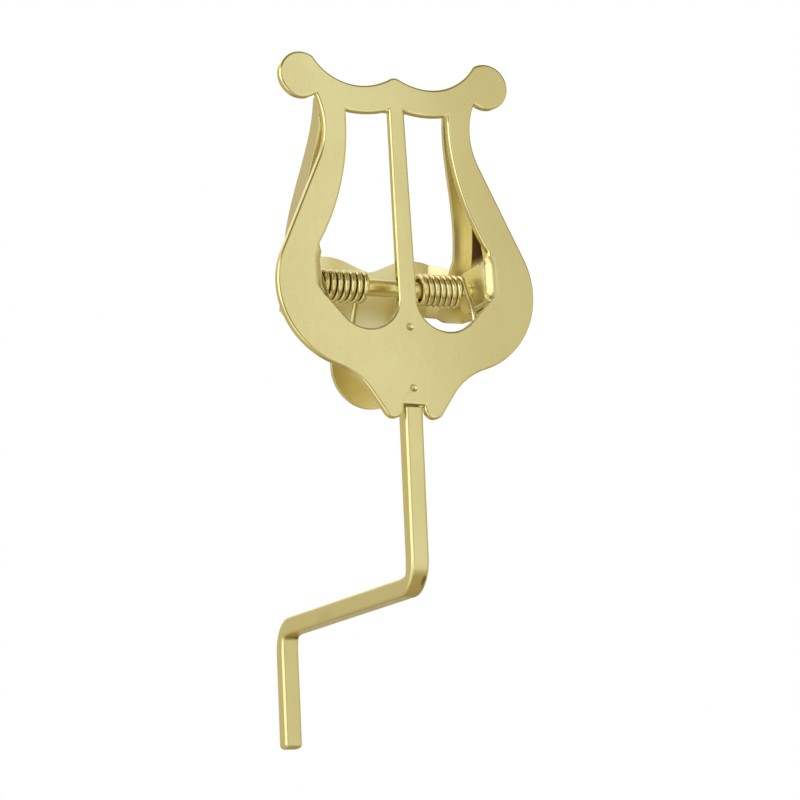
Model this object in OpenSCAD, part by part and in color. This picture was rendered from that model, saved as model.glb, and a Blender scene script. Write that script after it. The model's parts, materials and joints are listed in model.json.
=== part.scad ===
// Lyre clip for sheet music on a cranked square stem.
// A sprung rear jaw closes on a lyre shaped front plate.
// Frame: X across, the front plate faces -Y, +Z up.
// The origin is the middle of the shank's lower end.

/* [Stem] */
// side of the square bar
bar_side = 4.76; // [3:0.01:8]
// from the shank's lower end to the middle line of the level bar
shank_len = 31.4; // [15:0.1:60]
// between the middle lines of the shank and the riser
reach = 84.3; // [20:0.1:120]
// inner radius of both bends
bend_inner_r = 1.2; // [0.5:0.1:6]
// outer radius of both bends
bend_outer_r = 8.5; // [5:0.1:12]
// chamfer on the shank's lower end
shank_chamfer = 0.8; // [0:0.1:1.5]
// top of the tongue behind the plate, above the head's base line
tongue_top = 7.5; // [6:0.1:10]

/* [Head placing] */
// height of the head's base line above the shank's end
head_z = 89.2; // [60:0.1:120]
// the head leans back by this angle
head_lean = 2.6; // [0:0.1:8]
// the bar's front face lies this far behind the plate's front face
bar_inset = 0.2; // [0:0.1:1.5]

/* [Front plate] */
// thickness of the front plate
plate_t = 2.0; // [1:0.1:3]
// radius of the two scrolls
scroll_r = 5.9; // [3:0.1:9]
// scroll centre, across
scroll_x = 25.0; // [18:0.1:32]
// scroll centre, height
scroll_z = 68.7; // [60:0.1:80]
// height of the middle peak
peak_z = 69.35; // [68.3:0.05:74]
// rounding of the middle peak
peak_r = 2.6; // [2:0.1:5]
// valley between peak and scroll, across
valley_x = 9.5; // [6:0.1:14]
// valley between peak and scroll, height
valley_z = 66.85; // [60:0.05:70]
// radius of the hollow from the valley out to the scroll
valley_out_r = 14.5; // [8:0.1:25]
// half width of the neck under the scrolls
neck_x = 19.8; // [15:0.1:25]
// height of the narrowest part of the neck
neck_z = 56.0; // [50:0.1:60]
// radius of the neck's hollow
neck_r = 20.0; // [10:0.5:40]
// centre of the body's round side, across
body_x = 13.5; // [5:0.1:20]
// centre of the body's round side, height
body_z = 15.6; // [5:0.1:25]
// radius of the body's round side
body_r = 20.9; // [15:0.1:30]
// radius of the hollow that leads down to the lobes
waist_r = 17.0; // [8:0.1:25]
// radius of each lobe at the foot
lobe_r = 2.65; // [1.5:0.05:4]
// centre of each lobe, across
lobe_x = 5.4; // [4:0.1:8]
// centre of each lobe, height
lobe_z = -14.7; // [-20:0.1:-8]
// top of the notch between the lobes
notch_z = -13.9; // [-16:0.1:-10]

/* [Plate openings] */
// half width of the bar between the two openings
mullion_x = 2.05; // [1.5:0.05:4]
// radius of the openings' top edge, which sags a little
open_top_r = 26.0; // [15:0.5:100]
// lowest point of that edge, across
open_dip_x = 9.0; // [3:0.1:13]
// lowest point of that edge, height
open_dip_z = 59.85; // [55:0.05:63]
// outer edge of the openings at the top
open_top_x = 13.7; // [10:0.1:18]
// height where the outer edge starts to curve out
open_curve_z = 58.0; // [50:0.1:59]
// radius of the outer edge's curve
open_curve_r = 62.0; // [40:0.5:120]
// centre of the round bottom, across
bowl_x = 10.7; // [8:0.1:14]
// centre of the round bottom, height
bowl_z = 13.25; // [10:0.05:18]
// radius of the round bottom
bowl_r = 8.35; // [5:0.05:11]

/* [Plate ears] */
// inner face of each ear from the middle plane
ear_x = 21.7; // [18:0.1:26]
// inner radius of the ear's fold
ear_fold_r = 1.0; // [0.5:0.1:2]
// top edge of the ears
ear_top_z = 24.3; // [22:0.1:28]
// bottom edge of the ears
ear_low_z = 13.2; // [10:0.1:15]
// rear end of the ears behind the plate's front face
ear_rear_y = 16.8; // [14:0.1:18]
// rounding of the ear's rear corners
ear_corner_r = 3.2; // [1:0.1:5]

/* [Hinge] */
// hinge axis behind the plate's front face
pin_y = 10.5; // [8:0.1:14]
// hinge axis above the base line
pin_z = 17.9; // [14:0.1:22]
// radius of the hinge pin
pin_r = 2.1; // [1.5:0.05:3]
// running clearance of the pin in its holes
pin_clear = 0.05; // [0.01:0.01:0.1]
// radius of the pin's peened heads
pin_head_r = 2.9; // [2.3:0.1:4]
// thickness of the pin's peened heads
pin_head_t = 0.9; // [0.4:0.1:2]
// end play under the heads and between ear and flange
side_clear = 0.3; // [0.1:0.05:0.6]

/* [Rear jaw] */
// thickness of the jaw's sheet
jaw_t = 1.2; // [0.8:0.05:2]
// lean of the arms towards the plate
arm_lean = 18.3; // [5:0.1:30]
// front face of the arms behind the hinge axis
arm_back = 9.1; // [6:0.1:14]
// top edge of the jaw
jaw_top_z = 66.0; // [60:0.1:68]
// lower edge of the jaw's cross bar
cross_low_z = 61.6; // [58:0.1:64]
// half width of the jaw at its top
jaw_top_x = 20.0; // [16:0.1:24]
// height from which the jaw widens downwards
jaw_widen_z = 61.0; // [50:0.1:62]
// width of each arm at the top
arm_w = 4.9; // [3:0.1:8]
// width of each arm above the step to the web
arm_low_w = 4.4; // [3:0.1:8]
// lower end of the arms
arm_low_z = 12.6; // [10:0.1:15]
// gap between the flanges and the plate when closed
close_gap = 0.3; // [0.1:0.05:0.6]
// height down to which the flanges follow the plate
flange_touch_z = 56.0; // [50:0.1:60]
// the flanges' front edge half way down, behind the plate's front face
flange_mid_y = 6.2; // [4:0.1:9]
// height of that point
flange_mid_z = 41.6; // [38:0.1:50]
// the flanges' front edge above the ears, behind the plate's front face
flange_low_y = 7.2; // [4:0.1:9]
// height of that point
flange_low_z = 33.0; // [26:0.1:36]
// radius of the flange's eye round the pin
eye_r = 5.4; // [4:0.1:7]
// slanted cut of the jaw's top corners
jaw_top_cut = 2.0; // [0.5:0.1:4]
// slanted cut of the jaw's lower corners
jaw_low_cut = 1.0; // [0.5:0.1:5]

/* [Thumb tab] */
// lean of the web and tab
tab_lean = 5.3; // [0:0.1:15]
// front face of the web behind the hinge axis
web_back = 12.9; // [9:0.1:16]
// half width of the tab
tab_x = 10.6; // [6:0.1:14]
// centre height of the tab's round end
tab_end_z = 1.3; // [-5:0.1:8]
// height of the web's two humps
web_hump_z = 28.7; // [24:0.1:32]
// height of the web's middle valley
web_dip_z = 25.2; // [22:0.1:30]
// humps from the middle plane
web_hump_x = 11.5; // [6:0.1:16]
// height of the web's lower edge beside the tab
web_low_z = 15.3; // [13.5:0.1:17]
// the web's lower edge runs into the arms' at this distance from the middle
web_low_x = 21.5; // [18:0.1:23]
// fillet between the tab's side and the web's lower edge
tab_fillet = 2.5; // [1:0.1:4]

/* [Springs] */
// wire diameter
wire_d = 1.5; // [1:0.05:2]
// mean radius of the coils
coil_r = 3.4; // [2.9:0.05:5]
// inner end of the left coil from the middle plane
left_in_x = 7.0; // [3:0.1:12]
// outer end of the left coil from the middle plane
left_out_x = 20.0; // [14:0.1:21]
// inner end of the right coil from the middle plane
right_in_x = 7.6; // [3:0.1:12]
// outer end of the right coil from the middle plane
right_out_x = 18.9; // [14:0.1:21]
// full turns besides the part turn between the legs
coil_turns = 7; // [3:1:9]
// angle of the rear legs to the upright
rear_leg_a = 32; // [20:1:45]
// angle of the front legs to the upright
front_leg_a = 30; // [20:1:40]
// radius in which the front leg bends to its foot
foot_bend_r = 12.0; // [2:0.5:16]
// length of the front leg's foot along the plate
foot_len = 1.4; // [0.5:0.1:6]
// gap between a leg's end and what it bears on
leg_gap = 0.2; // [0:0.05:0.5]

/* [Rivets] */
// radius of the rivets
rivet_r = 0.9; // [0.5:0.05:1.2]
// clearance round the rivets
rivet_clear = 0.03; // [0:0.01:0.1]
// radius of the rivets' rear heads
rivet_head_r = 1.6; // [1:0.05:2.2]
// thickness of the rivets' rear heads
rivet_head_t = 0.6; // [0.3:0.05:1]
// height of the upper rivet
rivet_hi_z = 5.6; // [4:0.1:7]
// height of the lower rivet
rivet_lo_z = -9.8; // [-12:0.1:-6]
// radius of the dimple in each rivet's front end
dimple_r = 1.1; // [0.6:0.05:1.4]
// depth of that dimple
dimple_depth = 0.35; // [0.1:0.05:0.6]

/* [Hidden] */
$fn = 64;
eps = 0.01;
// longer than the head is in any direction
far = 100;
half = bar_side / 2;

// ---- head frame: y behind the plate's front face, z above the base line

// where the head's base line lies, so that the riser's front face meets the plate's foot
shoulder_z = notch_z - side_clear;
head_y = -reach - half - bar_inset * cos(head_lean) - shoulder_z * sin(head_lean);

// n + 1 points of an arc, from angle a0 to a1
function arc(c, r, a0, a1, n) = [
    for (i = [0 : n])
        let (a = a0 + (a1 - a0) * i / n)
            c + r * [cos(a), sin(a)]
];

// the same points without the first one, and without both ends
function tail(pts) = [for (i = [1 : len(pts) - 1]) pts[i]];
function inner(pts) = [for (i = [1 : len(pts) - 2]) pts[i]];

function flip(pts) = [for (i = [len(pts) - 1 : -1 : 0]) [-pts[i][0], pts[i][1]]];

// a head point in the stem's frame
function head_pt(y, z) = [
    head_y + y * cos(head_lean) + z * sin(head_lean),
    head_z - y * sin(head_lean) + z * cos(head_lean)
];

module head() {
    translate([0, head_y, head_z])
        rotate([-head_lean, 0, 0])
            children();
}

// a flat sheet that stands up, front face at y = 0
module sheet(t) {
    rotate([90, 0, 0])
        translate([0, 0, -t])
            linear_extrude(t)
                children();
}

// a side profile in (y, z), extruded from x0 to x1
module side(x0, x1) {
    translate([x0, 0, 0])
        rotate([90, 0, 90])
            linear_extrude(x1 - x0)
                children();
}

// a round bar along X
module rod(r, x0, x1) {
    translate([x0, pin_y, pin_z])
        rotate([0, 90, 0])
            cylinder(r = r, h = x1 - x0);
}

// ---- front plate

// hollow between valley and peak: level at the valley, tangent to the peak's rounding
peak_c = [0, peak_z - peak_r];
peak_drop = valley_z - peak_c[1];
valley_in_r = (valley_x * valley_x + peak_drop * peak_drop - peak_r * peak_r) / (2 * (peak_r - peak_drop));
valley_in_c = [valley_x, valley_z + valley_in_r];
peak_a = atan2(valley_in_c[1] - peak_c[1], valley_x);
// directions in which the outline's arcs begin and end, from each arc's centre
valley_out_a = -36;
scroll_start_a = 122.8;
scroll_end_a = -128;
neck_top_a = 158;
neck_low_a = 206.6;
body_top_a = 28;
body_low_a = -72;
waist_end_a = 145;
waist_c = [body_x, body_z] + (body_r + waist_r) * [cos(body_low_a), sin(body_low_a)];
lobe_start_a = -35;
lobe_in_x = lobe_x - lobe_r;

half_outline = concat(
    arc([lobe_x, lobe_z], lobe_r, -180, lobe_start_a, 20),
    arc(waist_c, waist_r, waist_end_a, 180 + body_low_a, 10),
    tail(arc([body_x, body_z], body_r, body_low_a, body_top_a, 24)),
    arc([neck_x + neck_r, neck_z], neck_r, neck_low_a, neck_top_a, 12),
    arc([scroll_x, scroll_z], scroll_r, scroll_end_a, scroll_start_a, 40),
    arc([valley_x, valley_z + valley_out_r], valley_out_r, valley_out_a, -90, 10),
    tail(arc(valley_in_c, valley_in_r, -90, peak_a - 180, 8)),
    inner(arc(peak_c, peak_r, peak_a, 90, 5))
);

plate_outline = concat(
    [[lobe_in_x, notch_z]],
    half_outline,
    [[0, peak_z]],
    flip(half_outline),
    [[-lobe_in_x, notch_z]]
);

fold_r = ear_fold_r + plate_t;
fold_x = ear_x + fold_r;
bowl_out_a = -50;
bowl_in_a = -175;
open_low_a = acos((open_curve_z - ear_top_z) / open_curve_r);
open_top_c = [open_dip_x, open_dip_z + open_top_r];
open_in_a = -90 - asin((open_dip_x - mullion_x) / open_top_r);
open_out_a = -90 + asin((open_top_x - open_dip_x) / open_top_r);

opening = concat(
    arc(open_top_c, open_top_r, open_in_a, open_out_a, 8),
    arc([open_top_x + open_curve_r, open_curve_z], open_curve_r, 180, 270 - open_low_a, 16),
    [[fold_x, ear_top_z], [fold_x, ear_low_z], [ear_x, ear_low_z]],
    arc([bowl_x, bowl_z], bowl_r, bowl_out_a, bowl_in_a, 24)
);

module ear_profile() {
    difference() {
        translate([fold_r, ear_low_z])
            square([ear_rear_y - fold_r, ear_top_z - ear_low_z]);
        translate([ear_rear_y, ear_top_z])
            corner_cut(ear_corner_r, -1, -1);
        translate([ear_rear_y, ear_low_z])
            corner_cut(ear_corner_r, -1, 1);
    }
}

// what is taken away to round a square corner
module corner_cut(r, sx, sy) {
    difference() {
        translate([sx > 0 ? -eps : -r, sy > 0 ? -eps : -r])
            square(r + eps);
        translate([sx * r, sy * r])
            circle(r);
    }
}

module ear() {
    difference() {
        translate([ear_x, 0, 0])
            side(0, plate_t)
                ear_profile();
        rod(pin_r + pin_clear, 0, ear_x + 2 * plate_t);
    }
    translate([fold_x, fold_r, ear_low_z])
        intersection() {
            difference() {
                cylinder(r = fold_r, h = ear_top_z - ear_low_z);
                cylinder(r = ear_fold_r, h = far, center = true);
            }
            translate([-fold_r - eps, -fold_r - eps, 0])
                cube([fold_r + eps, fold_r + eps, ear_top_z - ear_low_z]);
        }
}

module front_plate() {
    color([0.85, 0.81, 0.55])
        head() {
            difference() {
                sheet(plate_t)
                    difference() {
                        polygon(plate_outline);
                        polygon(opening);
                        mirror([1, 0])
                            polygon(opening);
                    }
                rivet_holes();
            }
            ear();
            mirror([1, 0, 0])
                ear();
        }
}

// ---- rear jaw

flange_in_x = ear_x + plate_t + side_clear;
jaw_x = flange_in_x + jaw_t;
widen_low_z = 27.5;
widen_power = 1.7;
up = 1 / cos(arm_lean);

// heights along the arms' own plane
function on_arm(z) = (z - pin_z) * up;

widen_top_z = min(jaw_widen_z, cross_low_z);

// how far a height is down the stretch in which the jaw widens, from 0 to 1
function widened(z) = (widen_top_z - z) / (widen_top_z - widen_low_z);

// half width of the jaw at a height
function jaw_half(z) = z > widen_top_z ? jaw_top_x
    : z < widen_low_z ? jaw_x
    : jaw_top_x + (jaw_x - jaw_top_x) * pow(sin(90 * widened(z)), widen_power);

// inner edge of the arms at a height
function arm_in(z) = jaw_half(z) - arm_w + (arm_w - arm_low_w) * widened(z);

jaw_steps = 14;
jaw_edge_z = [for (i = [0 : jaw_steps]) widen_top_z + (widen_low_z - widen_top_z) * i / jaw_steps];

// slanted step between the arms and the web: in plan it runs inwards by step_slope
step_slope = 0.65;
step_inset = 0.5;
step_x0 = jaw_x - arm_low_w - step_inset;
// top of the step at the arm
step_z0 = 25.3;
arm_y0 = pin_y + arm_back;
function arm_y(z) = arm_y0 - (z - pin_z) * tan(arm_lean);
function web_y(z) = pin_y + web_back - (z - pin_z) * tan(tab_lean);
function step_x(y) = step_x0 - (y - arm_y(step_z0)) * step_slope;
// how far a leaning sheet must reach past the strip's middle to end in the strip's rear corner
function lap(stretch) = step_slope * jaw_t * stretch - jaw_t / 2;
arm_end_x = step_x(arm_y(step_z0)) - lap(up);
arm_low_x = step_x(arm_y(arm_low_z)) - lap(up);

jaw_half_outline = concat(
    [[jaw_top_x - jaw_top_cut, on_arm(jaw_top_z)], [jaw_top_x, on_arm(jaw_top_z) - jaw_top_cut]],
    [for (z = jaw_edge_z) [jaw_half(z), on_arm(z)]],
    [[jaw_x, on_arm(arm_low_z) + jaw_low_cut], [jaw_x - jaw_low_cut, on_arm(arm_low_z)]]
);

module jaw_outer() {
    polygon(concat(jaw_half_outline, flip(jaw_half_outline)));
}

// the space between the arms
half_gap = concat(
    [[jaw_top_x - arm_w, on_arm(cross_low_z)]],
    [for (z = jaw_edge_z) [arm_in(z), on_arm(z)]],
    [[arm_end_x, on_arm(step_z0)], [arm_low_x, on_arm(arm_low_z)], [arm_low_x, on_arm(0)]]
);

module jaw_gap() {
    polygon(concat(half_gap, flip(half_gap)));
}

module arm_frame() {
    translate([0, arm_y0, pin_z])
        rotate([arm_lean, 0, 0])
            children();
}

// what lies more than one sheet inside the jaw's outer edge, open at both ends
half_inside = concat(
    [[jaw_top_x - jaw_t, on_arm(jaw_top_z) + jaw_t]],
    [for (z = jaw_edge_z) [jaw_half(z) - jaw_t, on_arm(z)]],
    [[flange_in_x, on_arm(arm_low_z) - jaw_t]]
);

// band along the jaw's outer edge, one sheet thick
module flange_band() {
    difference() {
        jaw_outer();
        polygon(concat(half_inside, flip(half_inside)));
    }
}

flange_near_y = plate_t + close_gap;
eye_front_y = pin_y - eye_r;
eye_low_z = pin_z - eye_r;

// side view of the flanges: close to the plate at the top, round the pin below
module flange_side() {
    polygon([
        [flange_near_y, jaw_top_z],
        [flange_near_y, flange_touch_z],
        [flange_mid_y, flange_mid_z],
        [flange_low_y, flange_low_z],
        [eye_front_y, pin_z + eye_r / 2],
        [eye_front_y, pin_z],
        [pin_y, pin_z],
        [pin_y, eye_low_z],
        [pin_y + 2 * arm_back, eye_low_z],
        [arm_y(pin_z) + 2 * jaw_t, pin_z],
        [arm_y(jaw_top_z) + 2 * jaw_t, jaw_top_z]
    ]);
    translate([pin_y, pin_z])
        circle(eye_r);
}

web_up = 1 / cos(tab_lean);
function on_web(z) = (z - pin_z) * web_up;
web_side_x = step_x(web_y(step_z0));
web_end_x = web_side_x - lap(web_up);
web_low_end_x = step_x(web_y(arm_low_z)) - lap(web_up);

// top edge of the web: two humps with a dip between them, falling off outside the humps
hump_power = 1.4;
hump_fall = 0.03;
function web_top(x) = web_dip_z + (web_hump_z - web_dip_z) * pow(sin(90 * min(1, x / web_hump_x)), hump_power)
    - (x > web_hump_x ? hump_fall * pow(x - web_hump_x, 2) : 0);
web_steps = 12;
web_top_half = [
    for (i = [web_steps : -1 : 0])
        let (x = web_end_x * i / web_steps)
            [x, on_web(web_top(x))]
];

web_half_outline = concat(
    arc([0, on_web(tab_end_z)], tab_x, -90, 0, 16),
    [[tab_x, on_web(arm_low_z)], [web_low_end_x, on_web(arm_low_z)]],
    web_top_half
);

module web() {
    translate([0, pin_y + web_back, pin_z])
        rotate([tab_lean, 0, 0])
            sheet(jaw_t)
                polygon(concat(web_half_outline, flip(web_half_outline)));
}

// slanted strips that join the arms to the web
strip_end_y = pin_y + 2 * arm_back;

module step_strip() {
    intersection() {
        linear_extrude(far)
            polygon([
                [step_x(pin_y) - jaw_t / 2, pin_y],
                [step_x(pin_y) + jaw_t / 2, pin_y],
                [step_x(strip_end_y) + jaw_t / 2, strip_end_y],
                [step_x(strip_end_y) - jaw_t / 2, strip_end_y]
            ]);
        side(0, far)
            polygon([
                [arm_y(step_z0), step_z0],
                [arm_y(arm_low_z), arm_low_z],
                [web_y(arm_low_z) + jaw_t * web_up, arm_low_z],
                [web_y(step_z0) + jaw_t * web_up, web_top(web_side_x)],
                [web_y(step_z0), web_top(web_side_x)]
            ]);
    }
}

// cut below the web's lower edge, which falls in a soft wave from the tab's fillet to the arms
wave_x0 = tab_x + tab_fillet;
wave_steps = 8;

module arch_cut() {
    translate([0, arm_y0 - jaw_t, 0])
        sheet(far)
            polygon(concat(
                [[tab_x, 0]],
                arc([wave_x0, web_low_z - tab_fillet], tab_fillet, 180, 90, 6),
                [
                    for (i = [1 : wave_steps])
                        let (fall = (1 - cos(180 * i / wave_steps)) / 2)
                            [
                                wave_x0 + (web_low_x - wave_x0) * i / wave_steps,
                                web_low_z + (arm_low_z - web_low_z) * fall
                            ]
                ],
                [[web_low_x, 0]]
            ));
}

module rear_jaw() {
    color([0.78, 0.7, 0.42])
        head()
            difference() {
                union() {
                    arm_frame()
                        sheet(jaw_t)
                            difference() {
                                jaw_outer();
                                jaw_gap();
                            }
                    intersection() {
                        arm_frame()
                            translate([0, -2 * arm_back, 0])
                                sheet(2 * arm_back + jaw_t)
                                    flange_band();
                        side(-far, far)
                            flange_side();
                    }
                    web();
                    step_strip();
                    mirror([1, 0, 0])
                        step_strip();
                }
                arch_cut();
                mirror([1, 0, 0])
                    arch_cut();
                rod(pin_r + pin_clear, -far, far);
            }
}

// ---- hinge pin

module pivot_pin() {
    pin_half = jaw_x + side_clear;
    color([0.74, 0.66, 0.4])
        head() {
            rod(pin_r, -pin_half - pin_head_t / 2, pin_half + pin_head_t / 2);
            rod(pin_head_r, pin_half, pin_half + pin_head_t);
            rod(pin_head_r, -pin_half - pin_head_t, -pin_half);
        }
}

// ---- torsion springs

wire_r = wire_d / 2;
wire_sides = 8;
// the turns go from the rear leg's tangent point to the front leg's
coil_sweep = 360 * coil_turns + 180 - rear_leg_a - front_leg_a;
coil_n = round(coil_sweep / 15);

// the turns as seen from the side, with the axis at the pin
function turn_yz(i) = let (a = rear_leg_a + coil_sweep * i / coil_n) [
    pin_y + coil_r * cos(a),
    pin_z + coil_r * sin(a)
];

// the rear leg runs down to the web's front face and bears on it with its tip
rear_dir = [sin(rear_leg_a), -cos(rear_leg_a)];
web_normal = [cos(tab_lean), sin(tab_lean)];
rear_start = turn_yz(0);
rear_room = (web_y(rear_start[1]) - rear_start[0]) * cos(tab_lean);
tip_reach = wire_r * sin(acos(rear_dir * web_normal));
rear_leg_len = (rear_room - tip_reach - leg_gap) / (rear_dir * web_normal);

// the front leg runs down to the plate's rear face, bends and ends in a foot along it
front_leg_y = plate_t + wire_r + leg_gap;
front_start = turn_yz(coil_n);
front_leg_len = (front_start[0] - front_leg_y - foot_bend_r * (1 - cos(front_leg_a))) / sin(front_leg_a);
foot_top_z = front_start[1] - front_leg_len * cos(front_leg_a) - foot_bend_r * sin(front_leg_a);
foot_bend_c = [front_leg_y + foot_bend_r, foot_top_z];

function at_x(x, p) = [x, p[0], p[1]];

// the wire's middle line for a coil from x0 to x1
function spring_path(x0, x1) = concat(
    [at_x(x0, rear_start + rear_leg_len * rear_dir)],
    [for (i = [0 : coil_n]) at_x(x0 + (x1 - x0) * i / coil_n, turn_yz(i))],
    [for (p = arc(foot_bend_c, foot_bend_r, 180 - front_leg_a, 180, 6)) at_x(x1, p)],
    [[x1, front_leg_y, foot_top_z - foot_len]]
);

function unit(v) = v / norm(v);
function tangent(p, i) = unit(p[min(i + 1, len(p) - 1)] - p[max(i - 1, 0)]);

// a ring of points round the wire, square to its run
function ring(c, t) = let (u = unit([0, -t[2], t[1]])) [
    for (k = [0 : wire_sides - 1])
        let (a = 360 * k / wire_sides)
            c + wire_r * (cos(a) * u + [sin(a), 0, 0])
];

module spring(x0, x1) {
    path = spring_path(x0, x1);
    n = len(path);
    m = wire_sides;
    pts = [for (i = [0 : n - 1]) each ring(path[i], tangent(path, i))];
    walls = [
        for (i = [0 : n - 2])
            for (k = [0 : m - 1])
                [i * m + k, i * m + (k + 1) % m, (i + 1) * m + (k + 1) % m, (i + 1) * m + k]
    ];
    start_cap = [[for (k = [m - 1 : -1 : 0]) k]];
    end_cap = [[for (k = [0 : m - 1]) (n - 1) * m + k]];
    polyhedron(points = pts, faces = concat(walls, start_cap, end_cap), convexity = 12);
}

module spring_right() {
    color([0.8, 0.74, 0.5])
        head()
            spring(right_in_x, right_out_x);
}

module spring_left() {
    color([0.8, 0.74, 0.5])
        head()
            mirror([1, 0, 0])
                spring(left_in_x, left_out_x);
}

// ---- stem

bar_low = shank_len - half;
bar_high = shank_len + half;
riser_front = -reach - half;
riser_rear = -reach + half;
tongue_y = bar_inset + bar_side;
shoulder = head_pt(plate_t, shoulder_z);

stem_outline = concat(
    [[-half, 0]],
    arc([-half - bend_inner_r, bar_low - bend_inner_r], bend_inner_r, 0, 90, 6),
    arc([riser_front + bend_outer_r, bar_low + bend_outer_r], bend_outer_r, -90, -180, 12),
    [[riser_front, shoulder[1]], shoulder],
    [head_pt(plate_t, tongue_top), head_pt(tongue_y, tongue_top)],
    [[riser_rear, shoulder[1]]],
    arc([riser_rear + bend_inner_r, bar_high + bend_inner_r], bend_inner_r, 180, 270, 6),
    arc([half - bend_outer_r, bar_high - bend_outer_r], bend_outer_r, 90, 0, 12),
    [[half, 0]]
);

// slanted width of the chamfer
chamfer_face = shank_chamfer * sqrt(2);

module stem() {
    color([0.8, 0.75, 0.48])
        difference() {
            side(-half, half)
                polygon(stem_outline);
            for (a = [0 : 90 : 270])
                rotate([0, 0, a])
                    translate([half, 0, 0])
                        rotate([0, 45, 0])
                            cube([chamfer_face, bar_side * 2, chamfer_face], center = true);
            head()
                rivet_holes();
        }
}

// ---- rivets

module rivet_at(z) {
    translate([0, 0, z])
        rotate([-90, 0, 0])
            children();
}

module rivet_holes() {
    for (z = [rivet_hi_z, rivet_lo_z])
        rivet_at(z)
            cylinder(r = rivet_r + rivet_clear, h = far, center = true);
}

module rivet() {
    difference() {
        union() {
            cylinder(r = rivet_r, h = tongue_y + rivet_clear + rivet_head_t / 2);
            translate([0, 0, tongue_y + rivet_clear])
                cylinder(r = rivet_head_r, h = rivet_head_t);
        }
        translate([0, 0, dimple_depth - dimple_r])
            sphere(dimple_r);
    }
}

module stem_rivets() {
    color([0.72, 0.64, 0.38])
        head()
            for (z = [rivet_hi_z, rivet_lo_z])
                rivet_at(z)
                    rivet();
}

front_plate();
rear_jaw();
pivot_pin();
spring_left();
spring_right();
stem();
stem_rivets();
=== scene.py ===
"""Looks of the sheet music lyre clip: lacquered brass under soft studio light."""
import json
import math

import bpy
from mathutils import Matrix, Vector
from mathutils.geometry import delaunay_2d_cdt


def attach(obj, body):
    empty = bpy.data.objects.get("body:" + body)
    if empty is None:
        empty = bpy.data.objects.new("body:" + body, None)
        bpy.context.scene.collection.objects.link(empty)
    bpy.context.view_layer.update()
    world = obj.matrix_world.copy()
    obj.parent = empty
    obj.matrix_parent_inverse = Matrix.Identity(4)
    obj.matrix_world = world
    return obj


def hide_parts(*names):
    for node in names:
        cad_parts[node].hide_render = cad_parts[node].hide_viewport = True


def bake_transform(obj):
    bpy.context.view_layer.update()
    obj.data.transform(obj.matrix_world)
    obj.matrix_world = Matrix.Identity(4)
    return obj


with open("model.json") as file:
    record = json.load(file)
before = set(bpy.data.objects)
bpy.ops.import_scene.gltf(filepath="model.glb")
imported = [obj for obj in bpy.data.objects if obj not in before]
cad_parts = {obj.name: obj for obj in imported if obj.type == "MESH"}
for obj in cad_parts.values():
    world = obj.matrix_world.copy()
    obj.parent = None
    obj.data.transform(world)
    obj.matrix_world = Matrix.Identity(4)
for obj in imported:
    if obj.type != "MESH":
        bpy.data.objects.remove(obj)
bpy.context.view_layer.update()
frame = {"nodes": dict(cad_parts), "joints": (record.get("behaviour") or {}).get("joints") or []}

MM = 0.001
RIGHT_ANGLE = math.pi / 2

# ---- camera: place in the frame's metres, two directions, lens and sensor in mm
CAMERA_AT = (-0.41760, -1.00824, -0.10604)
CAMERA_RIGHT = (0.91451, -0.40247, -0.04113)
CAMERA_UP = (-0.03457, -0.17900, 0.98324)
CAMERA_LENS = 189.4
CAMERA_SENSOR = 36.0
CAMERA_NEAR, CAMERA_FAR = 0.01, 20.0

# ---- hinge and springs, in mm as in the construction
HINGE = next(j for j in frame["joints"] if j["name"] == "jaw_hinge")
HINGE_AT = Vector(HINGE["pos_m"]) / MM
HEAD_LEAN = math.radians(2.6)
PIN_Y = 10.5
PIN_Z = 17.9
WIRE_R = 0.75
COIL_R = 3.4
# each coil's inner and outer end, from the middle plane
COIL_ENDS = {"spring_left": (7.0, 20.0), "spring_right": (7.6, 18.9)}
COIL_TURNS = 7
REAR_LEG_A = math.radians(32)
FRONT_LEG_A = math.radians(30)
REAR_LEG_LEN = 19.8
FRONT_LEG_LEN = 6.0
FOOT_BEND_R = 12.0
FOOT_LEN = 1.4

# ---- colours, linear
WHITE = (1.0, 1.0, 1.0, 1.0)
PAPER = (0.82, 0.82, 0.81, 1.0)
# the dark of real marks, and of painted shade in recesses, inside the jaw's flanges and in the
# stem's crease
DARK_MARK_AND_SHADE = (0.075, 0.048, 0.012, 1.0)
# what a face darkened by marks and by painted shade still reflects at a grazing angle
DARK_MARK_AND_SHADE_EDGE = (0.30, 0.20, 0.06, 1.0)
# a lighter brass, painted light on faces that the lamps leave too dark
PAINTED_LIGHT_BRASS = (0.96, 0.88, 0.50, 1.0)

# product of a face's normal and its rounded normal, on open faces and on full edges
OPEN_DOT, EDGE_DOT = 0.995, 0.80


# ==== materials

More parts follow.
